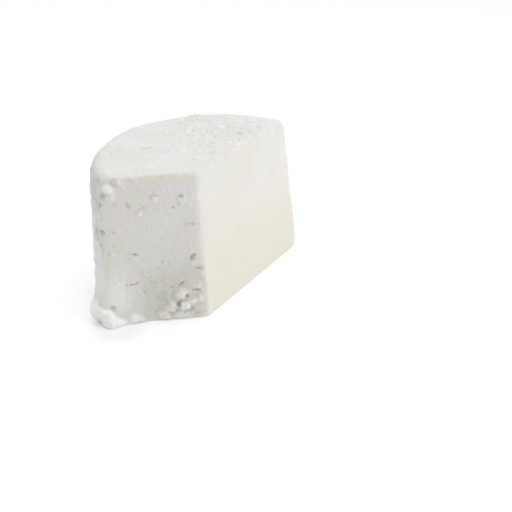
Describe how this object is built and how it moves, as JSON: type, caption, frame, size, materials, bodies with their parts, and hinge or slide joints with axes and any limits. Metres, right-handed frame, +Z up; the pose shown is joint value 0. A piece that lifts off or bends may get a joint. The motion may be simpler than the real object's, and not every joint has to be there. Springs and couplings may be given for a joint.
{
  "type": "ricotta",
  "caption": "Block of fresh ricotta cut from a basket-drained wheel: two flat knife cuts, a round flank, a grainy top, a flat base and a soft spill of curd at the foot.",
  "frame": {"origin": "middle of the block's bounding box, on the flat base that it stands on", "axes": "+Z up from the base; seen from -Y, the front cut faces the viewer and the right cut faces right; +X to the right"},
  "size_m": [0.1274, 0.1376, 0.0928],
  "materials": {
    "curd": "fresh milk curd, moist and matte, white with a slight cream tint"
  },
  "bodies": {
    "root": {"ricotta": "curd"}
  },
  "joints": []
}
